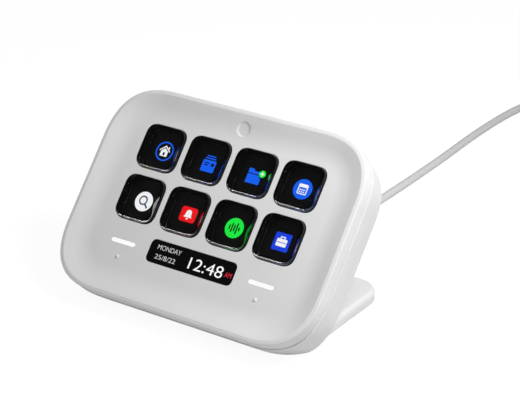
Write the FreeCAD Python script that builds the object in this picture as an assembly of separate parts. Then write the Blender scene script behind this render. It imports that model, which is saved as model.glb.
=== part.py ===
import FreeCAD, Part
import math
import os

# Macro keypad on a desk stand, in millimetres, +Z up, front towards -Y.
# The slab is drawn lying flat, X across, Y up the face and Z out of the face, with the origin
# at the middle of the key grid on the face. It is then tilted back and stood on its foot.

vec = FreeCAD.Vector

# Slab outline and stance
half_width = 53.5
face_top = 30.5
face_bottom = -46.1
corner_radius = 22.0
corner_fullness = 0.676
lean_from_upright = 40.62
grid_height = 41.6
depth_middle = 2.393

# Front shell
rim_height = 2.1
rim_round = 1.2
rim_inner_inset = 2.0
dish_width = 10.4
dish_steps = 4
part_line = -4.6
front_wall = 2.0
face_thickness = 1.6

# Rear cover
rear_gap = 0.4
rear_inset = 1.1
rear_bottom = -46.8
taper_level = -15.5
taper_inset = 2.3
back_level = -19.7
back_inset = 7.0
rear_wall = 2.0
lip_inset = 2.15
lip_wall = 1.1
lip_height = 2.0

# Foot
foot_half_width = 45.1
foot_back = 35.9
foot_corner = 9.0
foot_top = -36.8
foot_front = -8.0
rubber_proud = 0.5
foot_edge_round = 1.6
pocket_half_width = 43.2
pocket_front = -4.0
pocket_back = 34.0
pocket_corner = 7.0
pocket_top = -38.2
bay_floor = -36.6
base_plate_thickness = 1.1
ballast_thickness = 1.6
plate_gap = 0.1
front_rubber = (25.0, -14.5)
rear_rubber = (34.0, 25.0)
rubber_radius = 4.0
rubber_recess = 0.6

# Keys
key_pitch = 19.2
key_columns = 4
key_rows = 2
cap_size = 16.4
cap_radius = 4.3
cap_fullness = 0.669
cap_proud = 1.79
cap_bottom = -3.3
cap_round = 1.3
window_gap = 0.15
skirt_size = 18.4
skirt_radius = 5.2
skirt_top = -1.75
key_travel = 0.9
view_size = 14.6
view_radius = 3.4

# Layers under the keys
membrane_top = -4.25
membrane_thickness = 0.35
film_thickness = 0.2
panel_half = (38.4, 19.6)
panel_thickness = 2.5
frame_inner = (38.6, 19.7)
frame_outer = (39.4, 21.1)
frame_floor = (-8.5, -7.4)
frame_opening = (30.0, 14.0)
post_radius = 2.0
board_top = -10.0
board_thickness = 1.2
board_half_width = 37.0
board_span = (-34.5, 18.0)

# Clock window, light bars and touch points
clock_centre = -25.55
clock_size = (35.5, 8.14)
clock_radius = 2.1
clock_ledge = 1.0
lens_thickness = 1.0
bar_x = 28.75
bar_y = -25.74
bar_size = (9.9, 1.3)
bar_gap = 0.08
guide_bottom = -5.0
nub_y = -31.3
nub_radius = 0.55
nub_height = 0.4
touch_radius = 3.5
dimple_y = 23.6
dimple_radius = 2.65
dimple_depth = 0.3
dimple_floor = 0.22
front_board_span = (-34.5, -21.9)
front_board_top = -5.6

# Case screws
boss_x = 42.5
boss_top_y = 12.0
boss_low_y = -20.0
boss_radius = 3.0
boss_meet = -9.0
head_level = -14.0
screw_radius = 0.95
head_radius = 2.1
head_height = 1.9
counterbore = 2.3
insert_radius = 1.6
insert_length = 3.6

# Lead: route points are X, Y and Z from the middle of the key grid, before the final shift
cord_radius = 1.6
desk = -grid_height
lead_height = -30.6
boss_face = 3.8
lead_exit = 16.0
gland_radius = 4.2
relief_root = 3.2
relief_tip = 2.1
neck_radius = 2.45
collar = (-8.1, -6.1)
collar_radius = 3.5
on_desk = desk + cord_radius
route = [
    (0.0, 16.0, -30.6),
    (0.1, 26.0, -30.5),
    (0.6, 38.5, -31.2),
    (1.6, 54.0, -34.7),
    (2.8, 71.0, -38.9),
    (3.6, 90.0, on_desk),
    (3.9, 120.0, on_desk),
    (3.5, 152.0, on_desk),
    (2.1, 184.0, on_desk),
    (2.7, 212.0, on_desk),
    (5.9, 231.0, on_desk),
    (13.4, 244.4, on_desk),
]

# Coil of the put-away length
coil_centre = (38.0, 245.0)
turn_pitch = 3.3
coil_columns = 3
coil_layers = 4
coil_mid_radius = 18.0
tie_thickness = 0.6
tie_sweep = 26.0
tie_angle = -85.0
tail_start = 150.0
tail_step = 40.0
tail_points = 5
tail_near = 24.8
tail_far = 28.4
plug_length = 19.0
plug_width = 11.0
plug_height = 6.4
plug_boot = 6.0
tip_length = 6.7
tip_width = 8.3
tip_height = 2.5
tip_wall = 0.3


def rounded_outline(left, right, low, high, radius, fullness, level):
    """A closed wire: four straight sides and four full, squircle-like corners."""
    corners = [
        ((right, high), (0, -1), (-1, 0)),
        ((left, high), (1, 0), (0, -1)),
        ((left, low), (0, 1), (1, 0)),
        ((right, low), (-1, 0), (0, 1)),
    ]
    edges = []
    previous = None
    first = None
    for (cx, cy), into, out in corners:
        poles = []
        for direction, reach in ((into, 1.0), (into, 1.0 - fullness), (out, 1.0 - fullness), (out, 1.0)):
            poles.append(vec(cx + direction[0] * radius * reach, cy + direction[1] * radius * reach, level))
        if previous is not None:
            edges.append(Part.LineSegment(previous, poles[0]).toShape())
        else:
            first = poles[0]
        curve = Part.BezierCurve()
        curve.setPoles(poles)
        edges.append(curve.toShape())
        previous = poles[3]
    edges.append(Part.LineSegment(previous, first).toShape())
    return Part.Wire(edges)


def slab_outline(inset, level, bottom=face_bottom):
    return rounded_outline(-half_width + inset, half_width - inset, bottom + inset, face_top - inset,
                           corner_radius - inset, corner_fullness, level)


def square(centre, size, radius, level):
    x, y = centre
    return rounded_outline(x - size / 2, x + size / 2, y - size / 2, y + size / 2,
                           radius, cap_fullness, level)


def pad(wire, low, high):
    """A straight solid on a flat wire, between two levels."""
    face = Part.Face(wire)
    face.translate(vec(0, 0, low - wire.BoundBox.ZMin))
    return face.extrude(vec(0, 0, high - low))


def loft(wires, ruled=False):
    return Part.makeLoft(wires, True, ruled)


def block(x, y, z):
    """A box from three pairs of limits."""
    return Part.makeBox(x[1] - x[0], y[1] - y[0], z[1] - z[0], vec(x[0], y[0], z[0]))


def rod(radius, low, high, x=0.0, y=0.0):
    return Part.makeCylinder(radius, high - low, vec(x, y, low))


def key_centres():
    for row in range(key_rows):
        for column in range(key_columns):
            yield ((column - (key_columns - 1) / 2) * key_pitch, ((key_rows - 1) / 2 - row) * key_pitch)


def screw_places():
    for side in (-1, 1):
        for y in (boss_top_y, boss_low_y):
            yield side * boss_x, y


def tilt(shape):
    """Turn from the flat drawing frame to the leaning one, about the middle of the key grid."""
    leaned = shape.copy()
    leaned.rotate(vec(0, 0, 0), vec(1, 0, 0), 90.0 - lean_from_upright)
    return leaned


def stand(shape):
    """Shift to the row's own origin: bottom centre of the keypad."""
    placed = shape.copy()
    placed.translate(vec(0, -depth_middle, grid_height))
    return placed


def dish_void():
    """The shallow dish: a flat floor whose edge rises on a parabola to the rim."""
    wires = []
    for step in range(dish_steps + 1):
        rise = step / dish_steps
        inset = rim_inner_inset + dish_width * (1 - rise)
        wires.append(slab_outline(inset, rim_height * rise ** 2))
    above = slab_outline(rim_inner_inset, rim_height + 1.0)
    return loft(wires).fuse(loft([wires[-1], above], True))


def front_shell():
    body = pad(slab_outline(0.0, 0.0), part_line, rim_height)
    crest = [edge for edge in body.Edges if abs(edge.BoundBox.ZMin - rim_height) < 1e-4
             and abs(edge.BoundBox.ZMax - rim_height) < 1e-4]
    body = body.makeFillet(rim_round, crest)
    body = body.cut(dish_void())
    body = body.cut(pad(slab_outline(front_wall, 0.0), part_line - 1.0, -face_thickness))
    for x, y in screw_places():
        body = body.fuse(rod(boss_radius, boss_meet, -face_thickness + 0.2, x, y))
    cuts = []
    for centre in key_centres():
        opening = square(centre, cap_size + 2 * window_gap, cap_radius + window_gap, 0.0)
        cuts.append(pad(opening, -face_thickness - 1.0, rim_height))
    cuts.append(clock_outline(0.1, -lens_thickness, 1.0))
    cuts.append(clock_outline(-clock_ledge, -face_thickness - 1.0, 0.0))
    for side in (-1, 1):
        cuts.append(bar_prism(side, bar_gap, -face_thickness - 1.0, 1.0))
    for x, y in screw_places():
        cuts.append(rod(insert_radius, boss_meet - 1.0, boss_meet + insert_length, x, y))
        cuts.append(rod(screw_radius + 0.1, boss_meet, -4.8, x, y))
    ball = (dimple_radius ** 2 + dimple_depth ** 2) / (2 * dimple_depth)
    cuts.append(Part.makeSphere(ball, vec(0, dimple_y, dimple_floor + ball)))
    for cut in cuts:
        body = body.cut(cut)
    for side in (-1, 1):
        ball = (nub_radius ** 2 + nub_height ** 2) / (2 * nub_height)
        nub = Part.makeSphere(ball, vec(side * bar_x, nub_y, nub_height - ball))
        nub = nub.common(rod(nub_radius + 0.1, -0.3, nub_height + 0.1, side * bar_x, nub_y))
        body = body.fuse(nub)
    return body


def clock_outline(grow, low, high):
    half_x = clock_size[0] / 2 + grow
    half_y = clock_size[1] / 2 + grow
    wire = rounded_outline(-half_x, half_x, clock_centre - half_y, clock_centre + half_y,
                           clock_radius + grow, cap_fullness, 0.0)
    return pad(wire, low, high)


def bar_prism(side, grow, low, high):
    half_x = bar_size[0] / 2 + grow
    half_y = bar_size[1] / 2 + grow
    wire = rounded_outline(side * bar_x - half_x, side * bar_x + half_x, bar_y - half_y, bar_y + half_y,
                           half_y - 0.01, 0.552, 0.0)
    return pad(wire, low, high)


def rear_sections(shrink):
    """Outlines of the rear cover: a slight taper, then a rounded edge into the flat back."""
    wires = []
    start = part_line - rear_gap
    for level, inset in ((start, rear_inset), (taper_level, taper_inset)):
        wires.append(slab_outline(inset + shrink, level, rear_bottom))
    rounding = []
    for step in range(5):
        angle = math.radians(90.0 * step / 4)
        inset = taper_inset + (back_inset - taper_inset) * (1 - math.cos(angle))
        depth = (taper_level - back_level - shrink) * math.sin(angle)
        rounding.append(slab_outline(inset + shrink, taper_level - depth, rear_bottom))
    return wires, rounding


def rear_body(shrink):
    straight, rounding = rear_sections(shrink)
    return loft(straight, True).fuse(loft(rounding))


def foot_prism(half_x, front, back, radius, low, high):
    """A plate on the desk with two rounded rear corners."""
    wire = rounded_outline(-half_x, half_x, front, back, radius, 0.552, 0.0)
    return pad(wire, low, high)


def foot_plate():
    low = desk + rubber_proud
    plate = foot_prism(foot_half_width, foot_front - 12.0, foot_back, foot_corner, low, foot_top)
    edges = [edge for edge in plate.Edges if abs(edge.BoundBox.ZMin - foot_top) < 1e-4]
    plate = plate.makeFillet(foot_edge_round, edges)
    keep = block((-60, 60), (foot_front, 60), (desk - 1, 0))
    return plate.common(keep)


def lead_rod(radius, low, high, tip=None):
    """A round piece on the lead's axis, between two depths."""
    start = vec(0, low, lead_height)
    if tip is None:
        return Part.makeCylinder(radius, high - low, start, vec(0, 1, 0))
    return Part.makeCone(radius, tip, high - low, start, vec(0, 1, 0))


def rear_cover():
    shell = tilt(rear_body(0.0))
    above_desk = block((-80, 80), (-80, 80), (desk + rubber_proud, 80))
    shell = shell.common(above_desk)
    shell = shell.fuse(foot_plate())
    shell = shell.fuse(lead_rod(gland_radius, -5.0, boss_face))
    cavity = tilt(rear_body(rear_wall)).common(block((-80, 80), (-80, 80), (bay_floor, 80)))
    mouth = tilt(pad(slab_outline(rear_inset + rear_wall, 0.0, rear_bottom), -7.0, part_line + 1.0))
    mouth = mouth.common(block((-80, 80), (-80, 80), (bay_floor, 80)))
    cavity = cavity.fuse(mouth)
    shell = shell.cut(cavity)
    shell = shell.cut(foot_prism(pocket_half_width, pocket_front, pocket_back, pocket_corner,
                                 desk - 1.0, pocket_top))
    shell = shell.cut(lead_rod(neck_radius + 0.05, -12.0, boss_face + 1.0))
    lip = pad(slab_outline(lip_inset, 0.0), part_line - rear_gap - 1.6, part_line + lip_height)
    lip = lip.cut(pad(slab_outline(lip_inset + lip_wall, 0.0), -12.0, 0.0))
    lip = tilt(lip).common(above_desk)
    shell = shell.fuse(lip)
    for x, y in screw_places():
        shell = shell.fuse(tilt(rod(boss_radius, back_level + 1.0, boss_meet - 0.05, x, y)))
    for x, y in screw_places():
        shell = shell.cut(tilt(rod(screw_radius + 0.15, -30.0, boss_meet + 1.0, x, y)))
        shell = shell.cut(tilt(rod(counterbore, -30.0, head_level, x, y)))
    for side in (-1, 1):
        shell = shell.cut(rubber_disc(side, front_rubber, 0.1))
    return shell


def rubber_disc(side, place, grow):
    x, y = place
    low = desk
    high = desk + rubber_proud + rubber_recess
    return Part.makeCylinder(rubber_radius + grow, high - low, vec(side * x, y, low))


def rubber_feet():
    discs = []
    for place in (front_rubber, rear_rubber):
        for side in (-1, 1):
            disc = rubber_disc(side, place, 0.0)
            rim = [edge for edge in disc.Edges if abs(edge.BoundBox.ZMax - desk) < 1e-4]
            discs.append(disc.makeChamfer(0.25, rim))
    return Part.makeCompound(discs)


def base_plate():
    low = desk + rubber_proud
    plate = foot_prism(pocket_half_width - plate_gap, pocket_front + plate_gap, pocket_back - plate_gap,
                       pocket_corner - plate_gap, low, low + base_plate_thickness)
    for side in (-1, 1):
        plate = plate.cut(rubber_disc(side, rear_rubber, 0.1))
    return plate


def ballast_plate():
    low = desk + rubber_proud + base_plate_thickness
    return foot_prism(pocket_half_width - 0.6, pocket_front + 0.6, pocket_back - 0.6,
                      pocket_corner - 0.6, low, low + ballast_thickness)


def key_cap(centre):
    """Thick clear cap with a rounded top edge."""
    body = pad(square(centre, cap_size, cap_radius, 0.0), cap_bottom, cap_proud)
    top = [edge for edge in body.Edges if abs(edge.BoundBox.ZMin - cap_proud) < 1e-4]
    return body.makeFillet(cap_round, top)


def key_skirt(centre):
    """Black collar round the foot of a cap, wider than the window so the cap can't fall out."""
    collar_ring = pad(square(centre, skirt_size, skirt_radius, 0.0), cap_bottom, skirt_top)
    return collar_ring.cut(pad(square(centre, cap_size, cap_radius, 0.0), cap_bottom - 1, 0.0))


def windowed_sheet(half_x, half_y, low, high):
    sheet = pad(rounded_outline(-half_x, half_x, -half_y, half_y, 2.0, 0.552, 0.0), low, high)
    for centre in key_centres():
        sheet = sheet.cut(pad(square(centre, view_size, view_radius, 0.0), low - 1, high + 1))
    return sheet


def panel_frame():
    """Shallow tray that holds the panel against the face, with posts for the board."""
    top = -face_thickness - 0.05
    tray = block((-frame_outer[0], frame_outer[0]), (-frame_outer[1], frame_outer[1]),
                 (frame_floor[0], top))
    tray = tray.cut(block((-frame_inner[0], frame_inner[0]), (-frame_inner[1], frame_inner[1]),
                          (frame_floor[1], 0)))
    tray = tray.cut(block((-frame_opening[0], frame_opening[0]), (-frame_opening[1], frame_opening[1]),
                          (frame_floor[0] - 1, 0)))
    for x, y in post_places():
        tray = tray.fuse(rod(post_radius, board_top, frame_floor[0] + 0.5, x, y))
        tray = tray.cut(rod(0.75, board_top - 1.0, frame_floor[0] + 0.5, x, y))
    return tray


def post_places():
    for side in (-1, 1):
        for y in (-16.8, 16.0):
            yield side * 34.5, y


def main_board():
    low = board_top - board_thickness
    board = block((-board_half_width, board_half_width), board_span, (low, board_top))
    for x, y in post_places():
        board = board.cut(rod(0.9, low - 1, board_top + 1, x, y))
    return board


def board_screws():
    screws = []
    under = board_top - board_thickness
    for x, y in post_places():
        shank = rod(0.7, under, frame_floor[0] + 0.3, x, y)
        screws.append(shank.fuse(rod(1.6, under - 1.1, under, x, y)))
    return Part.makeCompound(screws)


def board_chips():
    """Processor, memory and power parts on the rear side of the main board."""
    under = board_top - board_thickness
    chips = [((-16, 2), 12.0, 12.0, 1.3), ((4, 4), 7.0, 7.0, 1.0), ((-16, -14), 8.0, 5.0, 1.0),
             ((16, -10), 5.0, 5.0, 2.2), ((20, 6), 4.5, 3.0, 1.6)]
    parts = []
    for (x, y), wide, tall, thick in chips:
        parts.append(block((x - wide / 2, x + wide / 2), (y - tall / 2, y + tall / 2), (under - thick, under)))
    return Part.makeCompound(parts)


def front_board():
    board = block((-33.5, 33.5), front_board_span, (front_board_top - 1.0, front_board_top))
    return board


def light_chips():
    chips = []
    for side in (-1, 1):
        x = side * bar_x
        chips.append(block((x - 2.4, x + 2.4), (bar_y - 0.7, bar_y + 0.7),
                           (front_board_top, guide_bottom - 0.05)))
    return Part.makeCompound(chips)


def light_guide(side):
    body = bar_prism(side, 0.0, guide_bottom, 0.0)
    flange = bar_prism(side, 0.9, -face_thickness - 0.95, -face_thickness - 0.05)
    return body.fuse(flange)


def touch_pads():
    pads = [rod(touch_radius, -face_thickness - 0.5, -face_thickness, side * bar_x, nub_y)
            for side in (-1, 1)]
    return Part.makeCompound(pads)


def clock_display():
    return block((-17.8, 17.8), (clock_centre - 4.2, clock_centre + 4.2), (-3.3, -face_thickness - 0.05))


def clock_ribbon():
    return block((-5.0, 5.0), (clock_centre - 1.5, clock_centre + 1.5), (front_board_top, -3.3))


def panel_ribbon():
    back = membrane_top - membrane_thickness - film_thickness - panel_thickness
    upper = block((-8, 8), (-6, 4), (back - 0.3, back))
    drop = block((-8, 8), (-6, -5.7), (board_top, back - 0.3))
    return upper.fuse(drop)


def board_link():
    return block((-9, 9), (-33.0, -30.5), (board_top, front_board_top - 1.0))


def case_screws():
    screws = []
    for x, y in screw_places():
        shank = rod(screw_radius, head_level, -5.2, x, y)
        head = rod(head_radius, head_level - head_height, head_level, x, y)
        head = head.cut(rod(0.8, head_level - head_height - 0.1, head_level - 0.9, x, y))
        screws.append(shank.fuse(head))
    return Part.makeCompound(screws)


def screw_plugs():
    plugs = [rod(counterbore - 0.05, back_level, back_level + 1.4, x, y) for x, y in screw_places()]
    return Part.makeCompound(plugs)


def brass_inserts():
    sleeves = []
    for x, y in screw_places():
        sleeve = rod(insert_radius, boss_meet, boss_meet + insert_length, x, y)
        sleeves.append(sleeve.cut(rod(screw_radius, boss_meet - 1, boss_meet + insert_length + 1, x, y)))
    return Part.makeCompound(sleeves)


def strain_relief():
    """Tapered sleeve behind the gland, with a neck through the wall and a collar inside."""
    body = lead_rod(relief_root, boss_face, lead_exit, relief_tip)
    body = body.fuse(lead_rod(neck_radius, collar[1] - 0.1, boss_face + 0.1))
    return body.fuse(lead_rod(collar_radius, collar[0], collar[1]))


def lead_header():
    return tilt(block((-4.5, 4.5), (-32.6, -28.9), (-13.2, board_top - board_thickness)))


def inner_lead():
    return lead_rod(0.9, -9.8, collar[0])


def lead_path(points):
    """Straight runs joined by tangent arcs, as one wire."""
    corners = [vec(*point) for point in points]
    edges = []
    start = corners[0]
    for before, corner, after in zip(corners, corners[1:], corners[2:]):
        one = (before - corner)
        two = (after - corner)
        shorter = min(one.Length, two.Length)
        turn = math.pi - one.getAngle(two)
        one.normalize()
        two.normalize()
        reach = 0.45 * shorter
        radius = reach / math.tan(turn / 2)
        print("corner", [round(value, 1) for value in corner], "radius", round(radius, 1),
              "turn", round(math.degrees(turn), 1))
        enter = corner + one * reach
        leave = corner + two * reach
        halfway = one + two
        halfway.normalize()
        middle = corner + halfway * (radius / math.cos(turn / 2) - radius)
        edges.append(Part.LineSegment(start, enter).toShape())
        edges.append(Part.Arc(enter, middle, leave).toShape())
        start = leave
    edges.append(Part.LineSegment(start, corners[-1]).toShape())
    return Part.Wire(edges)


def tube(points, radius):
    path = lead_path(points)
    heading = vec(*points[1]) - vec(*points[0])
    ring = Part.Wire([Part.makeCircle(radius, vec(*points[0]), heading)])
    solid = path.makePipeShell([ring], True, False, 2)
    expected = path.Length * math.pi * radius ** 2
    print("tube length", round(path.Length, 1), "volume", round(solid.Volume, 1), "expected", round(expected, 1))
    return solid


def coil_edges():
    """Inner and outer radius, floor and top of the ring that the turns fill."""
    half = (coil_columns - 1) / 2 * turn_pitch + cord_radius
    low = desk + tie_thickness
    return coil_mid_radius - half, coil_mid_radius + half, low, low + coil_layers * 2 * cord_radius


def cord_coil():
    inner, outer, low, high = coil_edges()
    x, y = coil_centre
    ring = Part.makeCylinder(outer, high - low, vec(x, y, low))
    ring = ring.cut(Part.makeCylinder(inner, high - low + 2, vec(x, y, low - 1)))
    ring = ring.makeFillet(1.2, [edge for edge in ring.Edges if edge.Closed])
    return ring.fuse(coil_stub())


def coil_stub():
    """The last stretch of the lead before it runs into the first turn."""
    end = vec(*route[-1])
    heading = end - vec(*route[-2])
    heading.normalize()
    return Part.makeCylinder(cord_radius, 11.0, end, heading)


def tie_section(grow):
    inner, outer, low, high = coil_edges()
    corners = [(inner - grow, low - grow), (outer + grow, low - grow),
               (outer + grow, high + grow), (inner - grow, high + grow)]
    points = [vec(radius, 0, level) for radius, level in corners]
    return Part.Face(Part.makePolygon(points + [points[0]]))


def cord_tie():
    """A flat strap round the turns, at the side away from the keypad."""
    band = tie_section(tie_thickness).cut(tie_section(0.02))
    strap = band.revolve(vec(0, 0, 0), vec(0, 0, 1), tie_sweep)
    strap.rotate(vec(0, 0, 0), vec(0, 0, 1), tie_angle)
    strap.translate(vec(coil_centre[0], coil_centre[1], 0))
    return strap


def tail_route():
    """From the top outer turn round the outside of the coil and down to the desk."""
    top = coil_edges()[3] - cord_radius
    points = []
    for step in range(tail_points):
        share = step / (tail_points - 1)
        angle = math.radians(tail_start - tail_step * step)
        radius = tail_near + (tail_far - tail_near) * share ** 0.5
        level = top + (on_desk - top) * share ** 1.2
        points.append((coil_centre[0] + radius * math.cos(angle),
                       coil_centre[1] + radius * math.sin(angle), level))
    return points


def plug_frame():
    """Place and heading of the plug: straight on from the end of the tail."""
    points = tail_route()
    end = vec(*points[-1])
    heading = end - vec(*points[-2])
    heading.z = 0
    heading.normalize()
    return end, heading


def lay_along(shape):
    """Turn a piece drawn along +X to lie on the plug's line."""
    end, heading = plug_frame()
    placed = shape.copy()
    placed.rotate(vec(0, 0, 0), vec(0, 0, 1), math.degrees(math.atan2(heading.y, heading.x)))
    placed.translate(end)
    return placed


def plug_body():
    """Overmoulded plug, flat sided, with a tapered boot behind it."""
    lift = plug_height / 2 - cord_radius
    shell = block((plug_boot, plug_boot + plug_length), (-plug_width / 2, plug_width / 2),
                  (lift - plug_height / 2, lift + plug_height / 2))
    shell = shell.makeFillet(1.6, shell.Edges)
    boot = Part.makeCone(cord_radius + 0.5, cord_radius + 1.2, plug_boot + 1.0, vec(0, 0, 0), vec(1, 0, 0))
    boot = boot.common(block((-1, 30), (-9, 9), (-cord_radius, 9)))
    return lay_along(shell.fuse(boot))


def plug_tip():
    start = plug_boot + plug_length
    lift = plug_height / 2 - cord_radius
    outer = block((start, start + tip_length), (-tip_width / 2, tip_width / 2),
                  (lift - tip_height / 2, lift + tip_height / 2))
    outer = outer.makeFillet(tip_height / 2 - 0.05, along_edges(outer))
    inner = block((start + 0.8, start + tip_length + 1), (-tip_width / 2 + tip_wall, tip_width / 2 - tip_wall),
                  (lift - tip_height / 2 + tip_wall, lift + tip_height / 2 - tip_wall))
    inner = inner.makeFillet(tip_height / 2 - tip_wall - 0.05, along_edges(inner))
    return lay_along(outer.cut(inner))


def along_edges(shape):
    return [edge for edge in shape.Edges if edge.BoundBox.XLength > 1.0
            and edge.BoundBox.YLength < 1e-4 and edge.BoundBox.ZLength < 1e-4]


def layers():
    """Levels of the sheets between the keys and the panel."""
    film = membrane_top - membrane_thickness
    panel = film - film_thickness
    return film, panel


def flat_pieces():
    """Pieces drawn in the flat frame, by name."""
    film, panel = layers()
    pieces = {"front_shell": front_shell()}
    for number, centre in enumerate(key_centres(), 1):
        pieces["key_cap_%d" % number] = key_cap(centre)
        pieces["key_skirt_%d" % number] = key_skirt(centre)
    pieces["key_membrane"] = windowed_sheet(panel_half[0], panel_half[1], film, membrane_top)
    pieces["contact_film"] = windowed_sheet(panel_half[0], panel_half[1], panel, film)
    pieces["lcd_panel"] = block((-panel_half[0], panel_half[0]), (-panel_half[1], panel_half[1]),
                                (panel - panel_thickness, panel))
    pieces["panel_frame"] = panel_frame()
    pieces["panel_ribbon"] = panel_ribbon()
    pieces["clock_lens"] = clock_outline(0.0, -lens_thickness, 0.0)
    pieces["clock_display"] = clock_display()
    pieces["clock_ribbon"] = clock_ribbon()
    pieces["light_guide_left"] = light_guide(-1)
    pieces["light_guide_right"] = light_guide(1)
    pieces["light_chips"] = light_chips()
    pieces["touch_pads"] = touch_pads()
    pieces["front_board"] = front_board()
    pieces["board_link"] = board_link()
    pieces["main_board"] = main_board()
    pieces["board_chips"] = board_chips()
    pieces["board_screws"] = board_screws()
    pieces["brass_inserts"] = brass_inserts()
    pieces["case_screws"] = case_screws()
    pieces["screw_plugs"] = screw_plugs()
    return pieces


def upright_pieces():
    """Pieces drawn in the leaning frame, by name."""
    return {
        "rear_cover": rear_cover(),
        "base_plate": base_plate(),
        "ballast_plate": ballast_plate(),
        "rubber_feet": rubber_feet(),
        "strain_relief": strain_relief(),
        "lead_header": lead_header(),
        "inner_lead": inner_lead(),
        "cord": tube(route, cord_radius),
        "cord_coil": cord_coil(),
        "cord_tie": cord_tie(),
        "cord_tail": tube(tail_route(), cord_radius),
        "plug_body": plug_body(),
        "plug_tip": plug_tip(),
    }


def main():
    os.makedirs("parts", exist_ok=True)
    pieces = {name: tilt(shape) for name, shape in flat_pieces().items()}
    pieces.update(upright_pieces())
    for name, shape in pieces.items():
        placed = stand(shape)
        placed.exportStep("parts/%s.step" % name)
        box = placed.BoundBox
        print(name, "valid", placed.isValid(), "solids", len(placed.Solids), "volume", round(placed.Volume, 1),
              "box", [round(value, 2) for value in (box.XMin, box.XMax, box.YMin, box.YMax, box.ZMin, box.ZMax)])


main()
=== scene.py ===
import math
import bpy
import bmesh
import numpy as np
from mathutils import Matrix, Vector


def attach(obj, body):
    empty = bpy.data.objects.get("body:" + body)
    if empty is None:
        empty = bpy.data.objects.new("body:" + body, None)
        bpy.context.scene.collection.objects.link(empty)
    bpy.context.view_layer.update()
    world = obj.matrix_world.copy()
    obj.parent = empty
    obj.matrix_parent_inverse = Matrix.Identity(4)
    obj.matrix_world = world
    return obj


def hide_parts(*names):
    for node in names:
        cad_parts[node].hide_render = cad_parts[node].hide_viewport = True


# A white macro keypad with eight display keys. Face measures are in millimetres, X across,
# U up the face and N out of it, from the middle of the key grid. All else is in metres.
MM = 0.001
LEAN = math.radians(40.62)
GRID_DEPTH = -2.393
GRID_HEIGHT = 41.6

HALF_WIDTH = 53.5
FACE_TOP = 30.5
FACE_BOTTOM = -46.1
CORNER = 22.0
FULLNESS = 0.676
RIM_HEIGHT = 2.1
RIM_INNER = 2.0
RIM_FALL = 0.2
RIM_ROUND = 0.4
RIM_CURVE = 1.5
EDGE_ROUND = 0.2
SIDE_INSET = 0.5
DISH_WIDTH = 9.6
DISH_EVEN = 3.2
PART_LINE = -3.0
WALL = 2.0
FACE_THICKNESS = 1.6

KEY_PITCH = 19.2
CAP_SIZE = 16.4
CAP_RADIUS = 4.3
CAP_FULLNESS = 0.669
CAP_TOP = 1.79
CAP_BOTTOM = -3.3
CAP_ROUND = 1.3
CAP_CHAMFER = 0.12
WINDOW_GAP = 0.15
WINDOW_EASE = 0.1
PANEL_LEVEL = -4.8

CLOCK_CENTRE = -25.55
CLOCK_SIZE = (35.5, 8.14)
CLOCK_RADIUS = 2.1
BAR_X = 28.75
BAR_U = -25.74
BAR_SIZE = (9.9, 1.3)
NUB_U = -31.3
NUB_HEIGHT = 0.4
DIMPLE_U = 23.6
DIMPLE_RADIUS = 2.65
DIMPLE_DEPTH = 0.3
DIMPLE_STEEPNESS = 14

SKIRT_SIZE = 18.4
SKIRT_RADIUS = 5.2
SKIRT_TOP = -1.75
LINING = (16.44, 16.56)
PICTURE_SHIFT = (-0.35, -0.05)
PLATE = 0.02
PLATE_STEP = 0.004
PICTURE_LEVEL = PANEL_LEVEL + PLATE
BAR_DEPTH = 5.0

REAR_GAP = 0.3
REAR_INSET = 0.25
REAR_ROUND = 0.15
REAR_BOTTOM = -46.8
TAPER_LEVEL = -15.5
TAPER_INSET = 2.3
BACK_LEVEL = -19.7
BACK_INSET = 7.0
LIP_INSET = 2.15
LIP_WALL = 1.1
LIP_TOP = -2.6
SCREW_PLACES = [(-42.5, 12.0), (-42.5, -20.0), (42.5, 12.0), (42.5, -20.0)]
PLUG_RADIUS = 2.25
PLUG_DEPTH = 0.25
HOLE_RADIUS = 2.3
HOLE_ROUND = 0.15
HOLE_DEPTH = 1.4
FOOT_HALF_WIDTH = 45.1
FOOT_BACK = 35.9
FOOT_CORNER = 9.0
FOOT_TOP = -36.8
FOOT_FRONT = -8.0
FOOT_EDGE = 1.6
FOOT_LOW_EDGE = 0.3
UNDERSIDE = 0.5 - GRID_HEIGHT

LEAD_HEIGHT = -30.6
GLAND_RADIUS = 4.2
GLAND_FACE = 3.8
GLAND_ROUND = 0.5
RELIEF_ROOT = 3.2
RELIEF_TIP = 2.1
RELIEF_END = 16.0
GROOVES_ALONG = 7.0
GROOVE_DEPTH = 0.38
CORD_RADIUS = 1.6
ON_DESK = CORD_RADIUS - GRID_HEIGHT
ROUTE = [
    (0.0, 16.0, -30.6),
    (0.1, 26.0, -30.5),
    (0.6, 38.5, -31.2),
    (1.6, 54.0, -34.7),
    (2.8, 71.0, -38.9),
    (3.6, 90.0, ON_DESK),
    (3.9, 120.0, ON_DESK),
    (3.5, 152.0, ON_DESK),
    (2.1, 184.0, ON_DESK),
    (2.7, 212.0, ON_DESK),
    (5.9, 231.0, ON_DESK),
    (13.4, 244.4, ON_DESK),
]
COIL_CENTRE = (38.0, 245.0)
TURN_PITCH = 3.3
COIL_COLUMNS = 3
COIL_LAYERS = 4
COIL_MID = 18.0
COIL_LIFT = 0.6
COIL_START = 151.0
POINTS_PER_TURN = 16
COIL_TURNS = 10.9
CLIMB_TURN = 0.75
TAIL_START = 150.0
TAIL_STEP = 40.0
TAIL_POINTS = 5
TAIL_NEAR = 24.8
TAIL_FAR = 28.4
TIE_THICKNESS = 0.6
TIE_SWEEP = 26.0
TIE_ANGLE = -85.0
GRIP_HEIGHT = 6.4
GRIP_SIDES = 56
GRIP_ROWS = 120

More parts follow.
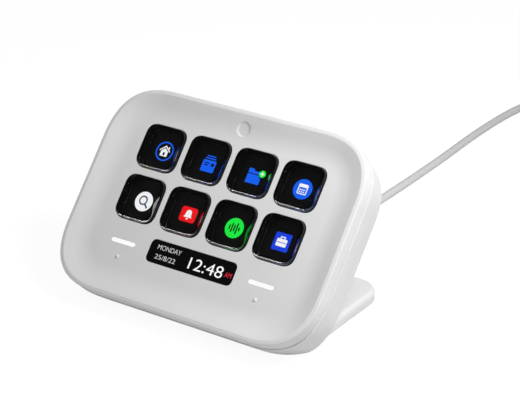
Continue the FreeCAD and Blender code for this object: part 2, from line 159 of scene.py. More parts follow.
LENS = 126.83
SENSOR = 36.0
CAMERA_PLACE = (0.33157, -0.46300, 0.29622)
CAMERA_DOWN = 24.58
CAMERA_TURN = 34.34
FLOOR_COLOUR = (0.56, 0.56, 0.56, 1.0)
FLOOR_SHADE = (0.15, 0.15, 0.15, 1.0)
FLOOR_GLOW = 0.92
SOFT_LEVEL = 0.35
ROOM_LEVEL = 0.045
AIM = (0.0, 0.0, 0.03)
KEY_LIGHT = ("key_light", (0.17, 0.01, 0.27), AIM, (0.12, 0.12), 0.74)
SIDE_LIGHT = ("side_light", (0.5, -0.25, 0.3), AIM, (0.2, 0.2), 0.45)
EDGE_LIGHT = ("edge_light", (-0.045, -0.075, 0.003), (-0.045, 0.0, 0.05), (0.15, 0.02), 0.2)
CIRCLE_HANDLE = 0.5523
SIDES = (("left", -1), ("right", 1))

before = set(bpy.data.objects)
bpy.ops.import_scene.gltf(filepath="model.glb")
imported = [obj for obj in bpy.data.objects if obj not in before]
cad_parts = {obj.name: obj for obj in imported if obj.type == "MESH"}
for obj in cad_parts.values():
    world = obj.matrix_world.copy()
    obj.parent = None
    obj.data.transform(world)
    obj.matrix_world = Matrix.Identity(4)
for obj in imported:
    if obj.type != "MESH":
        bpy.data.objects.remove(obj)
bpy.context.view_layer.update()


# Frame helpers

def to_row(points):
    """Face points (x, u, n) in mm turned by the lean about the grid's middle and moved to the row frame."""
    points = np.asarray(points, dtype=float)
    x, u, n = points[..., 0], points[..., 1], points[..., 2]
    back = u * math.sin(LEAN) - n * math.cos(LEAN) + GRID_DEPTH
    up = u * math.cos(LEAN) + n * math.sin(LEAN) + GRID_HEIGHT
    return np.stack([x, back, up], axis=-1) * MM


def from_grid(points):
    """Level points in mm from the middle of the key grid moved to the row frame."""
    return (np.asarray(points, dtype=float) + (0.0, GRID_DEPTH, GRID_HEIGHT)) * MM


def link_object(name, data):
    """An object that holds this mesh, curve, lamp or camera, put into the scene."""
    item = bpy.data.objects.new(name, data)
    bpy.context.scene.collection.objects.link(item)
    return item


def vertex_rows(mesh):
    """The mesh's vertices as rows of x, y and z."""
    points = np.empty(len(mesh.vertices) * 3)
    mesh.vertices.foreach_get("co", points)
    return points.reshape(-1, 3)


def corner_indices(mesh):
    """The vertex number at each corner of each face, in one row."""
    corners = np.empty(len(mesh.loops), dtype=np.int32)
    mesh.loops.foreach_get("vertex_index", corners)
    return corners


def new_piece(name, points, faces, material=None, crease=38.0, cut_at=None):
    """A mesh object from vertex rows and face index lists, with doubles merged and faces outward.
    What lies below cut_at is cut away and the cut closed."""
    mesh = bpy.data.meshes.new(name)
    mesh.from_pydata(np.asarray(points).tolist(), [], faces)
    work = bmesh.new()
    work.from_mesh(mesh)
    bmesh.ops.remove_doubles(work, verts=work.verts, dist=1e-6)
    if cut_at is not None:
        everything = work.verts[:] + work.edges[:] + work.faces[:]
        cut = bmesh.ops.bisect_plane(work, geom=everything, dist=1e-7, plane_co=(0, 0, cut_at),
                                     plane_no=(0, 0, 1), clear_inner=True)
        rim = [item for item in cut["geom_cut"] if isinstance(item, bmesh.types.BMEdge)]
        bmesh.ops.holes_fill(work, edges=rim, sides=0)
    bmesh.ops.recalc_face_normals(work, faces=work.faces)
    work.to_mesh(mesh)
    work.free()
    mesh.polygons.foreach_set("use_smooth", np.ones(len(mesh.polygons), dtype=bool))
    mesh.set_sharp_from_angle(angle=math.radians(crease))
    if material:
        mesh.materials.append(material)
    return link_object(name, mesh)


def settle(piece, body, slot, *nodes):
    """Tie a piece to its body, and let it stand for CAD nodes. The slot argument is not used."""
    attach(piece, body)
    if nodes:
        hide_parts(*nodes)
    return piece


def add_piece(name, shape, place, material, body, slot, *nodes, **options):
    """The piece of a shape, placed by to_row or from_grid, tied to its body and standing for CAD nodes."""
    piece = new_piece(name, place(shape.rows()), shape.faces, material, **options)
    return settle(piece, body, slot, *nodes)


# Camera and cord

def add_camera():
    """A long lens at the photograph's place, in front and to the right, looking down."""
    camera = bpy.data.cameras.new("camera")
    camera.lens = LENS
    camera.sensor_width = SENSOR
    camera.sensor_fit = "HORIZONTAL"
    camera.clip_end = 20.0
    holder = link_object("camera", camera)
    holder.location = CAMERA_PLACE
    holder.rotation_euler = (math.radians(90.0 - CAMERA_DOWN), 0.0, math.radians(CAMERA_TURN))
    bpy.context.scene.camera = holder


def coil_point(turn):
    """Centre of the lead in the coil after that many turns, counted clockwise from where it enters.
    The radius winds in and out by one pitch a turn, and each layer ends a step higher."""
    per_layer = COIL_COLUMNS - 1
    layer = min(int(turn / (per_layer + CLIMB_TURN)), COIL_LAYERS - 1)
    along = turn - layer * (per_layer + CLIMB_TURN)
    share = min(along / per_layer, 1.0)
    rise = max(0.0, (along - per_layer) / CLIMB_TURN) if layer < COIL_LAYERS - 1 else 0.0
    outer = COIL_MID + (COIL_COLUMNS - 1) / 2 * TURN_PITCH
    inner = COIL_MID - (COIL_COLUMNS - 1) / 2 * TURN_PITCH
    radius = outer + (inner - outer) * share
    if layer % 2:
        radius = inner + (outer - inner) * share
    smooth_rise = rise * rise * (3 - 2 * rise)
    level = COIL_LIFT - GRID_HEIGHT + CORD_RADIUS * (1 + 2 * (layer + smooth_rise))
    angle = math.radians(COIL_START) - 2 * math.pi * turn
    return (COIL_CENTRE[0] + radius * math.cos(angle), COIL_CENTRE[1] + radius * math.sin(angle), level)


def tail_points():
    """From the top outer turn round the outside of the coil and down to the desk."""
    top = COIL_LIFT - GRID_HEIGHT + CORD_RADIUS * (2 * COIL_LAYERS - 1)
    points = []
    for step in range(TAIL_POINTS):
        share = step / (TAIL_POINTS - 1)
        angle = math.radians(TAIL_START - TAIL_STEP * step)
        radius = TAIL_NEAR + (TAIL_FAR - TAIL_NEAR) * share ** 0.5
        level = top + (ON_DESK - top) * share ** 1.2
        points.append((COIL_CENTRE[0] + radius * math.cos(angle),
                       COIL_CENTRE[1] + radius * math.sin(angle), level))
    return points


def add_cord(material):
    """The whole lead as one NURBS line: the route, the coil's turns and the tail."""
    turns = int(COIL_TURNS * POINTS_PER_TURN)
    coil = [coil_point(step / POINTS_PER_TURN) for step in range(1, turns + 1)]
    control = from_grid(ROUTE + coil + tail_points())
    curve = bpy.data.curves.new("lead", "CURVE")
    curve.dimensions = "3D"
    spline = curve.splines.new("NURBS")
    spline.points.add(len(control) - 1)
    flat = np.c_[control, np.ones(len(control))].ravel()
    spline.points.foreach_set("co", flat)
    spline.order_u = 3
    spline.use_endpoint_u = True
    spline.resolution_u = 6
    curve.bevel_depth = CORD_RADIUS * MM
    curve.bevel_resolution = 5
    curve.use_fill_caps = True
    curve.materials.append(material)
    return link_object("lead", curve)


# Materials

def set_inputs(node, **values):
    """Set a shader node's inputs by name, where an underscore stands for a space."""
    for key, value in values.items():
        node.inputs[key.replace("_", " ")].default_value = value


def new_material(name, **values):
    """A material with its nodes, its links and its main shader, whose inputs are set by name."""
    material = bpy.data.materials.new(name)
    material.use_nodes = True
    nodes = material.node_tree.nodes
    body = nodes["Principled BSDF"]
    set_inputs(body, **values)
    return material, nodes, material.node_tree.links, body


def new_node(nodes, kind, **values):
    """A shader node of this kind, with its inputs set by name."""
    node = nodes.new("ShaderNode" + kind)
    set_inputs(node, **values)
    return node


def add_math(nodes, links, operation, *terms):
    """One value worked out from others, each a number or another node's output."""
    node = nodes.new("ShaderNodeMath")
    node.operation = operation
    for place, term in enumerate(terms):
        if isinstance(term, float):
            node.inputs[place].default_value = term
        else:
            links.new(term, node.inputs[place])
    return node.outputs[0]


def opaque(colour, share=1.0):
    """A colour times a share, with full cover."""
    return tuple(share * c for c in colour) + (1.0,)


def add_bump(nodes, links, body, height, strength, distance):
    """Let a height bend the light on the surface."""
    bump = new_node(nodes, "Bump", Strength=strength, Distance=distance)
    links.new(height, bump.inputs["Height"])
    links.new(bump.outputs["Normal"], body.inputs["Normal"])


def add_shade(nodes, links, body, value, low, high, span=(0.0, 1.0)):
    """Take the base colour from low to high as the value goes over the span."""
    ramp = nodes.new("ShaderNodeValToRGB")
    for stop, position, colour in zip(ramp.color_ramp.elements, span, (low, high)):
        stop.position = position
        stop.color = colour
    links.new(value, ramp.inputs["Fac"])
    links.new(ramp.outputs["Color"], body.inputs["Base Color"])


def add_skin(nodes, links, body, **values):
    """Let the moulded grain vary the roughness. Its place and the grain's node are given back."""
    place = nodes.new("ShaderNodeTexCoord").outputs["Object"]
    skin = nodes.new("ShaderNodeGroup")
    skin.node_tree = GRAIN
    set_inputs(skin, **values)
    links.new(place, skin.inputs["Vector"])
    links.new(skin.outputs["Roughness"], body.inputs["Roughness"])
    return place, skin


def grain_group():
    """Fine moulded grain: two noises of different scale give a height and a roughness change."""
    group = bpy.data.node_groups.new("moulded_grain", "ShaderNodeTree")
    face = group.interface
    face.new_socket("Vector", in_out="INPUT", socket_type="NodeSocketVector")
    for label, value in (("Fine Scale", 9000.0), ("Roughness", 0.4), ("Spread", 0.05)):
        face.new_socket(label, in_out="INPUT", socket_type="NodeSocketFloat").default_value = value
    for label in ("Height", "Roughness"):
        face.new_socket(label, in_out="OUTPUT", socket_type="NodeSocketFloat")
    nodes, links = group.nodes, group.links
    enter = nodes.new("NodeGroupInput").outputs
    leave = nodes.new("NodeGroupOutput").inputs
    fine = new_node(nodes, "TexNoise", Detail=2.0)
    broad = new_node(nodes, "TexNoise", Scale=90.0, Detail=3.0)
    links.new(enter["Vector"], fine.inputs["Vector"])
    links.new(enter["Fine Scale"], fine.inputs["Scale"])
    links.new(enter["Vector"], broad.inputs["Vector"])
    centred = add_math(nodes, links, "SUBTRACT", broad.outputs["Fac"], 0.5)
    spread = add_math(nodes, links, "MULTIPLY_ADD", centred, enter["Spread"], enter["Roughness"])
    links.new(fine.outputs["Fac"], leave["Height"])
    links.new(spread, leave["Roughness"])
    return group


def moulded(name, colour, roughness, spread=0.08, grain=9000.0, bump=0.06, tint=0.03, **shader):
    """Moulded plastic or rubber: grain bump, uneven roughness and a faint cloudy change of colour."""
    material, nodes, links, body = new_material(name, **shader)
    place, skin = add_skin(nodes, links, body, Fine_Scale=grain, Roughness=roughness, Spread=spread)
    add_bump(nodes, links, body, skin.outputs["Height"], bump, 0.00005)
    cloud = new_node(nodes, "TexNoise", Scale=45.0)
    links.new(place, cloud.inputs["Vector"])
    pale = tuple(min(1.0, c * (1 + tint)) for c in colour)
    add_shade(nodes, links, body, cloud.outputs["Fac"], opaque(colour, 1 - tint), opaque(pale), (0.3, 0.7))
    return material


def glowing(name, colour):
    """A lit part of a display: dark glass that sends out its colour through a fine pixel grid."""
    material, nodes, links, body = new_material(name, Base_Color=(0.0, 0.0, 0.0, 1.0), Roughness=0.25,
                                                Emission_Strength=1.0)
    place = nodes.new("ShaderNodeTexCoord")
    turn = new_node(nodes, "Mapping", Rotation=(LEAN - math.pi / 2, 0.0, 0.0))
    links.new(place.outputs["Object"], turn.inputs["Vector"])
    grid = new_node(nodes, "TexBrick", Scale=1.0, Brick_Width=0.00012, Row_Height=0.00012,
                    Mortar_Size=0.000008, Color1=opaque(colour), Color2=opaque(colour),
                    Mortar=opaque(colour, 0.85))
    grid.offset = 0.0
    links.new(turn.outputs["Vector"], grid.inputs["Vector"])
    links.new(grid.outputs["Color"], body.inputs["Emission Color"])
    return material


def clear(name, tint, **shader):
    """Polished acrylic, seen through in its tint."""
    material, nodes, links, body = new_material(name, Base_Color=opaque(tint), Transmission_Weight=1.0,
                                                IOR=1.49, **shader)
    add_skin(nodes, links, body, Roughness=0.015, Spread=0.02)
    return material


def brushed(name, colour, roughness, stretch=(900.0, 900.0, 30.0)):
    """Metal with fine lines: a noise stretched along one way changes roughness, colour and height."""
    material, nodes, links, body = new_material(name, Metallic=1.0)
    place = nodes.new("ShaderNodeTexCoord")
    pull = new_node(nodes, "Mapping", Scale=stretch)
    links.new(place.outputs["Object"], pull.inputs["Vector"])
    lines = new_node(nodes, "TexNoise", Scale=6.0, Detail=3.0)
    links.new(pull.outputs["Vector"], lines.inputs["Vector"])
    add_shade(nodes, links, body, lines.outputs["Fac"], opaque(colour, 0.8), opaque(colour))
    rough = new_node(nodes, "MapRange", To_Min=roughness * 0.7, To_Max=roughness * 1.3)
    links.new(lines.outputs["Fac"], rough.inputs["Value"])
    links.new(rough.outputs["Result"], body.inputs["Roughness"])
    add_bump(nodes, links, body, lines.outputs["Fac"], 0.15, 0.00003)
    return material


def board_finish(name):
    """Green solder mask with paler copper runs under it."""
    material, nodes, links, body = new_material(name, Roughness=0.35)
    place = nodes.new("ShaderNodeTexCoord")
    runs = new_node(nodes, "TexBrick", Scale=320.0, Mortar_Size=0.04, Color1=(0.006, 0.09, 0.035, 1.0),
                    Color2=(0.008, 0.11, 0.04, 1.0), Mortar=(0.03, 0.22, 0.08, 1.0))
    links.new(place.outputs["Object"], runs.inputs["Vector"])
    links.new(runs.outputs["Color"], body.inputs["Base Color"])
    add_bump(nodes, links, body, runs.outputs["Fac"], 0.2, 0.00003)
    return material


def woven(name, colour):
    """Hook-and-loop strap: crossed ribs of yarn with a soft sheen."""
    material, nodes, links, body = new_material(name, Roughness=0.85, Sheen_Weight=0.4)
    place = nodes.new("ShaderNodeTexCoord")
    ribs = []
    for way in ("X", "Y"):
        rib = new_node(nodes, "TexWave", Scale=380.0, Distortion=1.5)
        rib.bands_direction = way
        links.new(place.outputs["Object"], rib.inputs["Vector"])
        ribs.append(rib.outputs["Fac"])
    cross = add_math(nodes, links, "MAXIMUM", *ribs)
    add_shade(nodes, links, body, cross, opaque(colour, 0.4), opaque(colour))
    add_bump(nodes, links, body, cross, 0.6, 0.0002)
    return material


GRAIN = grain_group()
WHITE = moulded("white_shell", (0.75, 0.75, 0.75), 0.4, tint=0.015, Specular_IOR_Level=0.4)
WHITE_REAR = moulded("white_cover", (0.75, 0.75, 0.75), 0.42, tint=0.015, Specular_IOR_Level=0.4)
WHITE_SOFT = moulded("white_soft", (0.68, 0.68, 0.68), 0.5, bump=0.02, tint=0.01, Specular_IOR_Level=0.3)
RELIEF_RUBBER = moulded("relief_rubber", (0.66, 0.66, 0.66), 0.6, Specular_IOR_Level=0.3)
PLUG_PLASTIC = moulded("plug_plastic", (0.72, 0.72, 0.72), 0.5, Specular_IOR_Level=0.3)
BLACK_COLLAR = moulded("black_collar", (0.006, 0.006, 0.006), 0.5, Specular_IOR_Level=0.25)
KEY_PAINT = moulded("key_paint", (0.0015, 0.0015, 0.0015), 0.6, bump=0.0, Specular_IOR_Level=0.0)
BLACK_GLASS = moulded("black_glass", (0.003, 0.003, 0.0035), 0.12, spread=0.03, bump=0.0)
PANEL_GLASS = moulded("panel_glass", (0.002, 0.002, 0.002), 0.3, spread=0.03, bump=0.0,
                      Specular_IOR_Level=0.2)
CARBON_FILM = moulded("carbon_film", (0.004, 0.004, 0.004), 0.5)
DARK_RUBBER = moulded("foot_rubber", (0.03, 0.03, 0.03), 0.75, grain=5000.0, bump=0.2)
SILICONE = moulded("dark_silicone", (0.003, 0.003, 0.003), 0.7, Specular_IOR_Level=0.05)
AMBER_FILM = moulded("amber_film", (0.42, 0.17, 0.03), 0.3)
CHIP_BLACK = moulded("chip_black", (0.02, 0.02, 0.02), 0.5, grain=12000.0, bump=0.15)
DIFFUSER = moulded("light_diffuser", (0.8, 0.8, 0.8), 0.5, Subsurface_Weight=0.2)
CLEAR = clear("clear_cap", (0.97, 0.975, 0.98))
SMOKED = clear("smoked_edge", (0.1, 0.1, 0.11), Specular_IOR_Level=0.3)
TIE_FABRIC = woven("tie_fabric", (0.07, 0.07, 0.075))
BOARD = board_finish("circuit_board")
STEEL = brushed("screw_steel", (0.56, 0.57, 0.58), 0.28)
SHEET_STEEL = brushed("frame_steel", (0.6, 0.6, 0.6), 0.35, (40.0, 900.0, 900.0))
BALLAST = brushed("ballast_steel", (0.42, 0.42, 0.43), 0.45, (40.0, 900.0, 900.0))
PLUG_STEEL = brushed("plug_steel", (0.62, 0.62, 0.63), 0.22, (60.0, 60.0, 900.0))
BRASS = brushed("insert_brass", (0.75, 0.52, 0.2), 0.3)
COPPER = brushed("copper_foil", (0.8, 0.42, 0.25), 0.35)
BLUE = glowing("lit_blue", (0.004, 0.127, 0.96))
BLUE_TILE = glowing("lit_deep_blue", (0.006, 0.055, 0.80))
GREEN = glowing("lit_green", (0.01, 0.90, 0.06))
RED = glowing("lit_red", (0.90, 0.006, 0.01))
LIT_WHITE = glowing("lit_white", (1.0, 1.0, 1.0))
LIT_GREY = glowing("lit_grey", (0.66, 0.66, 0.66))
SLATE = glowing("lit_slate", (0.02, 0.05, 0.12))
CLOCK_RED = glowing("clock_red", (0.75, 0.03, 0.05))
BAR_LIGHT = glowing("bar_light", (1.0, 1.0, 1.0))


# Outlines

def corner_curve(fullness, count):
    """One full corner from (1, 0) to (0, 1): a cubic Bezier whose handles reach out by fullness."""
    t = np.linspace(0.0, 1.0, count + 1)[:, None]
    poles = np.array([(1.0, 0.0), (1.0, fullness), (fullness, 1.0), (0.0, 1.0)])
    return ((1 - t) ** 3 * poles[0] + 3 * t * (1 - t) ** 2 * poles[1]
            + 3 * t ** 2 * (1 - t) * poles[2] + t ** 3 * poles[3])


def full_loop(left, right, low, high, radius, fullness, corner_count=16, side_count=8, gather=1.0):
    """A closed loop round a rectangle with full corners, the same count of points for any size.
    A gather above 1 draws the points of each side towards its middle."""
    arc = corner_curve(fullness, corner_count)
    corners = [(right - radius, high - radius), (left + radius, high - radius),
               (left + radius, low + radius), (right - radius, low + radius)]
    spread = np.linspace(-1.0, 1.0, side_count + 1)[1:-1, None]
    steps = 0.5 + 0.5 * np.sign(spread) * np.abs(spread) ** gather
    arcs = []
    for quarter_turn, corner in enumerate(corners):
        angle = quarter_turn * math.pi / 2
        turn = np.array([[math.cos(angle), math.sin(angle)], [-math.sin(angle), math.cos(angle)]])
        arcs.append(arc @ turn * radius + corner)
    points = []
    for one, two in zip(arcs, arcs[1:] + arcs[:1]):
        points.append(one)
        points.append(one[-1] + (two[0] - one[-1]) * steps)
    return np.vstack(points)


def slab_loop(inset, bottom=FACE_BOTTOM, **counts):
    """The slab's outline, drawn in evenly by the inset."""
    return full_loop(-HALF_WIDTH + inset, HALF_WIDTH - inset, bottom + inset, FACE_TOP - inset,
                     CORNER - inset, FULLNESS, **counts)


def square_loop(centre, size, radius, **counts):
    """A key's outline: a square with full corners round a centre."""
    half = size / 2
    return full_loop(centre[0] - half, centre[0] + half, centre[1] - half, centre[1] + half,
                     radius, CAP_FULLNESS, **counts)


def clock_loop(grow):
    """The clock window's outline, moved out evenly by grow."""
    half_x = CLOCK_SIZE[0] / 2 + grow
    half_u = CLOCK_SIZE[1] / 2 + grow
    return full_loop(-half_x, half_x, CLOCK_CENTRE - half_u, CLOCK_CENTRE + half_u, CLOCK_RADIUS + grow,
                     CAP_FULLNESS, side_count=14)


def bar_loop(side, grow):
    """A light bar's outline with half-round ends, moved out evenly by grow."""
    half_x = BAR_SIZE[0] / 2 + grow
    half_u = BAR_SIZE[1] / 2 + grow
    return full_loop(side * BAR_X - half_x, side * BAR_X + half_x, BAR_U - half_u, BAR_U + half_u,
                     half_u - 0.01, CIRCLE_HANDLE, corner_count=8, side_count=12)


def circle(centre, radius, count=48):
    """Even points round a circle."""
    angle = np.linspace(0.0, 2 * math.pi, count, endpoint=False)
    return np.c_[centre[0] + radius * np.cos(angle), centre[1] + radius * np.sin(angle)]


def key_centres():
    """Centres of the eight keys, one pitch apart, by rows from the upper left."""
    return [((column - 1.5) * KEY_PITCH, (0.5 - row) * KEY_PITCH) for row in range(2) for column in range(4)]


def at_level(loop, level):
    """A flat loop put at one level."""
    return np.c_[loop, np.full(len(loop), float(level))]


def quarter(count, start=0.0, end=90.0):
    """Sine and one minus cosine over part of a quarter turn, as pairs."""
    return [(math.sin(a), 1 - math.cos(a)) for a in np.radians(np.linspace(start, end, count + 1))]


def ring_edges(start, size):
    """Pairs of neighbours round a closed loop whose first point has the number start."""
    index = np.arange(size)
    return np.stack([start + index, start + (index + 1) % size], axis=-1)


def filled(loops):
    """Triangles over the flat region inside the first loop and outside the others."""
    starts = np.cumsum([0] + [len(loop) for loop in loops])
    edges = np.vstack([ring_edges(start, len(loop)) for start, loop in zip(starts, loops)])
    mesh = bpy.data.meshes.new("fill")
    mesh.from_pydata(np.vstack(loops).tolist(), edges.tolist(), [])
    work = bmesh.new()
    work.from_mesh(mesh)
    bmesh.ops.triangle_fill(work, edges=work.edges[:], use_beauty=True)
    work.to_mesh(mesh)
    work.free()
    corners = corner_indices(mesh)
    bpy.data.meshes.remove(mesh)
    return corners.reshape(-1, 3)


class Shape:
    """Gathers loops of points and the faces between them."""

    def __init__(self):
        """Start with no points and no faces."""
        self.points = []
        self.faces = []
        self.count = 0

    def add(self, points):
        """Keep a loop's points and give back the number of the first."""
        start = self.count
        self.points.append(np.asarray(points, dtype=float))
        self.count += len(points)
        return start

    def bands(self, loops, close=False):
        """Quads between each closed loop and the next, and from the last to the first to close a ring."""
        starts = [self.add(loop) for loop in loops]
        pairs = list(zip(starts, starts[1:]))
        if close:
            pairs.append((starts[-1], starts[0]))
        for one, two in pairs:
            low = ring_edges(one, len(loops[0]))
            high = ring_edges(two, len(loops[0]))
            self.faces += np.c_[low, high[:, ::-1]].tolist()

    def fill(self, loops):
        """A flat face inside the first loop and outside the others."""
        start = self.add(np.vstack(loops))
        self.faces += (filled(loops) + start).tolist()

    def rows(self):
        """All points so far."""
        return np.vstack(self.points)


def lofted(loops):
    """A closed solid: bands through all loops, and a flat fill at each end."""
    shape = Shape()
    shape.bands(loops)
    shape.fill([loops[0]])
    shape.fill([loops[-1]])
    return shape


def turned(profile):
    """A closed solid turned about the lead's axis from (radius, depth) pairs that start and end at radius 0.
    Each pair is a circle across the axis at that depth."""
    shape = Shape()
    shape.bands([np.insert(circle((0.0, LEAD_HEIGHT), radius), 1, depth, axis=1)
                 for radius, depth in profile])
    return shape


# Front shell

def dish_level(inset):
    """Height of the dish wall: an even slope below the rim, then a curve that eases into the flat floor."""
    away = np.asarray(inset) - RIM_INNER
    curve = DISH_WIDTH - DISH_EVEN
    slope = RIM_HEIGHT / (DISH_EVEN + curve / 2)
    left = np.clip(DISH_WIDTH - away, 0.0, curve)
    return slope * left ** 2 / (2 * curve) + slope * np.clip(DISH_EVEN - away, 0.0, DISH_EVEN)


def face_profile():
    """Inset and level pairs from the hidden edge, up the side and round the rim's outer edge, over its top,
    which falls a little outwards, and past a crisp inner edge down the dish."""
    profile = [(WALL, PART_LINE), (SIDE_INSET + EDGE_ROUND, PART_LINE)]
    profile += [(SIDE_INSET + EDGE_ROUND * (1 - s), PART_LINE + EDGE_ROUND * c) for s, c in quarter(4)]
    profile.append((SIDE_INSET, PART_LINE + 3 * EDGE_ROUND))
    turn = quarter(8, 0.0, 72.0)
    top_start = SIDE_INSET + RIM_ROUND * turn[-1][1]
    width = RIM_INNER - SIDE_INSET

    def top_level(inset):
        """Level of the rim's top, which falls by a power of the way out from its inner edge."""
        return RIM_HEIGHT - RIM_FALL * ((RIM_INNER - inset) / width) ** RIM_CURVE

    base = top_level(top_start) - RIM_ROUND * turn[-1][0]
    profile.append((SIDE_INSET, base - 0.4))
    profile += [(SIDE_INSET + RIM_ROUND * c, base + RIM_ROUND * s) for s, c in turn]
    profile += [(inset, top_level(inset)) for inset in np.linspace(top_start, RIM_INNER, 10)[1:]]
    wall = np.linspace(RIM_INNER + 0.1, RIM_INNER + DISH_WIDTH, 72)
    profile += np.c_[wall, dish_level(wall)].tolist()
    profile.append((RIM_INNER + DISH_WIDTH + 0.12, 0.0))
    return profile


def window_loops():
    """Outline of each opening in the face, as functions of how far it is grown."""
    loops = [lambda grow, centre=centre: square_loop(centre, CAP_SIZE + 2 * (WINDOW_GAP + grow),
                                                     CAP_RADIUS + WINDOW_GAP + grow)
             for centre in key_centres()]
    loops.append(lambda grow: clock_loop(0.1 + grow))
    loops += [lambda grow, side=side: bar_loop(side, 0.08 + grow) for side in (-1, 1)]
    return loops


def front_shell():
    """Closed shell: outer side, rounded rim, dish wall, pierced floor, and the hollow behind."""
    shape = Shape()
    counts = dict(corner_count=40, side_count=110, gather=1.7)
    profile = face_profile()
    loops = [at_level(slab_loop(inset, **counts), level) for inset, level in profile]
    shape.bands(loops)
    top = [loops[-1]]
    under = [at_level(slab_loop(WALL, **counts), -FACE_THICKNESS)]
    shape.bands([loops[0], under[0]])
    for window in window_loops():
        lip = [at_level(window(WINDOW_EASE + 0.1), 0.0)]
        lip += [at_level(window(WINDOW_EASE * (1 - s)), -WINDOW_EASE * c) for s, c in quarter(4)]
        lip.append(at_level(window(0.0), -FACE_THICKNESS))
        shape.bands(lip)
        top.append(lip[0])
        under.append(lip[-1])
    shape.fill(top)
    shape.fill(under)
    points = shape.rows()
    away = np.hypot(points[:, 0], points[:, 1] - DIMPLE_U)
    near = (away < DIMPLE_RADIUS) & (points[:, 2] > -0.5)
    points[near, 2] -= DIMPLE_DEPTH * (1 - (away[near] / DIMPLE_RADIUS) ** DIMPLE_STEEPNESS) ** 1.5
    piece = new_piece("front_shell_skin", to_row(points), shape.faces, WHITE)
    return settle(piece, "case", "white_shell", "front_shell")


def nub(word, side):
    """A raised touch point: circles at rising levels make a smooth cap that flares at its foot."""
    profile = [(0.0, -0.2), (0.9, -0.2), (0.9, 0.0), (0.72, 0.03), (0.6, 0.12), (0.52, 0.24), (0.38, 0.34),
               (0.2, 0.39), (0.0, NUB_HEIGHT)]
    shape = Shape()
    shape.bands([at_level(circle((side * BAR_X, NUB_U), radius, 32), level) for radius, level in profile])
    return add_piece("touch_nub_" + word, shape, to_row, WHITE, "case", "white_shell", "front_shell",
                     crease=70.0)


# Rear cover and foot

def rear_cover():
    """Lip that enters the front shell, a rounded front edge that stands out a little past it, the taper and
    the rounded back, cut flat below."""
    counts = dict(corner_count=40, side_count=30)
    start = PART_LINE - REAR_GAP
    front = [(LIP_INSET + LIP_WALL, -12.0), (LIP_INSET + LIP_WALL, LIP_TOP), (LIP_INSET, LIP_TOP),
             (LIP_INSET, start)]
    loops = [at_level(slab_loop(inset, **counts), level) for inset, level in front]
    outer = [(REAR_INSET + REAR_ROUND * (1 - s), start - REAR_ROUND * c, FACE_BOTTOM) for s, c in quarter(6)]
    first = start - REAR_ROUND
    outer += [(REAR_INSET + (TAPER_INSET - REAR_INSET) * share ** 1.2, first + (TAPER_LEVEL - first) * share,
               FACE_BOTTOM + (REAR_BOTTOM - FACE_BOTTOM) * share) for share in np.linspace(0.06, 0.94, 12)]
    outer += [(TAPER_INSET + (BACK_INSET - TAPER_INSET) * c, TAPER_LEVEL + (BACK_LEVEL - TAPER_LEVEL) * s,
               REAR_BOTTOM) for s, c in quarter(18)]
    outer.append((BACK_INSET + 0.4, BACK_LEVEL, REAR_BOTTOM))
    loops += [at_level(slab_loop(inset, bottom, **counts), level) for inset, level, bottom in outer]
    shape = Shape()
    shape.bands(loops)
    shape.fill([loops[0]])
    back = [loops[-1]]
    for place in SCREW_PLACES:
        hole = [at_level(circle(place, HOLE_RADIUS + HOLE_ROUND * (1 - s)), BACK_LEVEL + HOLE_ROUND * c)
                for s, c in quarter(3)]
        hole.append(at_level(circle(place, HOLE_RADIUS), BACK_LEVEL + HOLE_DEPTH))
        shape.bands(hole)
        shape.fill([hole[-1]])
        back.append(hole[0])
    shape.fill(back)
    return add_piece("rear_cover_skin", shape, to_row, WHITE_REAR, "case", "white_cover", "rear_cover",
                     cut_at=(UNDERSIDE + GRID_HEIGHT + 0.03) * MM)


def foot():
    """Flat foot with two rounded rear corners, a rounded top edge and a small round below."""
    def loop(inset, level):
        """The foot's outline, drawn in by the inset and cut straight at its front."""
        outline = full_loop(-FOOT_HALF_WIDTH + inset, FOOT_HALF_WIDTH - inset, FOOT_FRONT - 12.0 + inset,
                            FOOT_BACK - inset, FOOT_CORNER - inset, CIRCLE_HANDLE, corner_count=20,
                            side_count=16)
        return at_level(np.c_[outline[:, 0], np.maximum(outline[:, 1], FOOT_FRONT)], level)
    loops = [loop(FOOT_LOW_EDGE + 0.4, UNDERSIDE)]
    loops += [loop(FOOT_LOW_EDGE * (1 - s), UNDERSIDE + FOOT_LOW_EDGE * c) for s, c in quarter(4)]
    loops.append(loop(0.0, FOOT_TOP - FOOT_EDGE - 0.3))
    loops += [loop(FOOT_EDGE * c, FOOT_TOP - FOOT_EDGE + FOOT_EDGE * s) for s, c in quarter(10)]
    loops.append(loop(FOOT_EDGE + 0.4, FOOT_TOP))
    return add_piece("foot_skin", lofted(loops), from_grid, WHITE_REAR, "case", "white_cover", "rear_cover")


def screw_plugs():
    """Soft plugs over the case screws, a little domed and set just under the back."""
    shape = Shape()
    for place in SCREW_PLACES:
        profile = [(PLUG_RADIUS, BACK_LEVEL + HOLE_DEPTH), (PLUG_RADIUS, BACK_LEVEL + PLUG_DEPTH)]
        profile += [(PLUG_RADIUS - 0.2 * c, BACK_LEVEL + PLUG_DEPTH - 0.2 * s) for s, c in quarter(4)]
        profile += [(PLUG_RADIUS * 0.5, BACK_LEVEL + 0.02)]
        loops = [at_level(circle(place, radius), level) for radius, level in profile]
        shape.bands(loops)
        shape.fill([loops[0]])
        shape.fill([loops[-1]])
    return add_piece("screw_plug_caps", shape, to_row, WHITE_SOFT, "case", "white_cover", "screw_plugs")


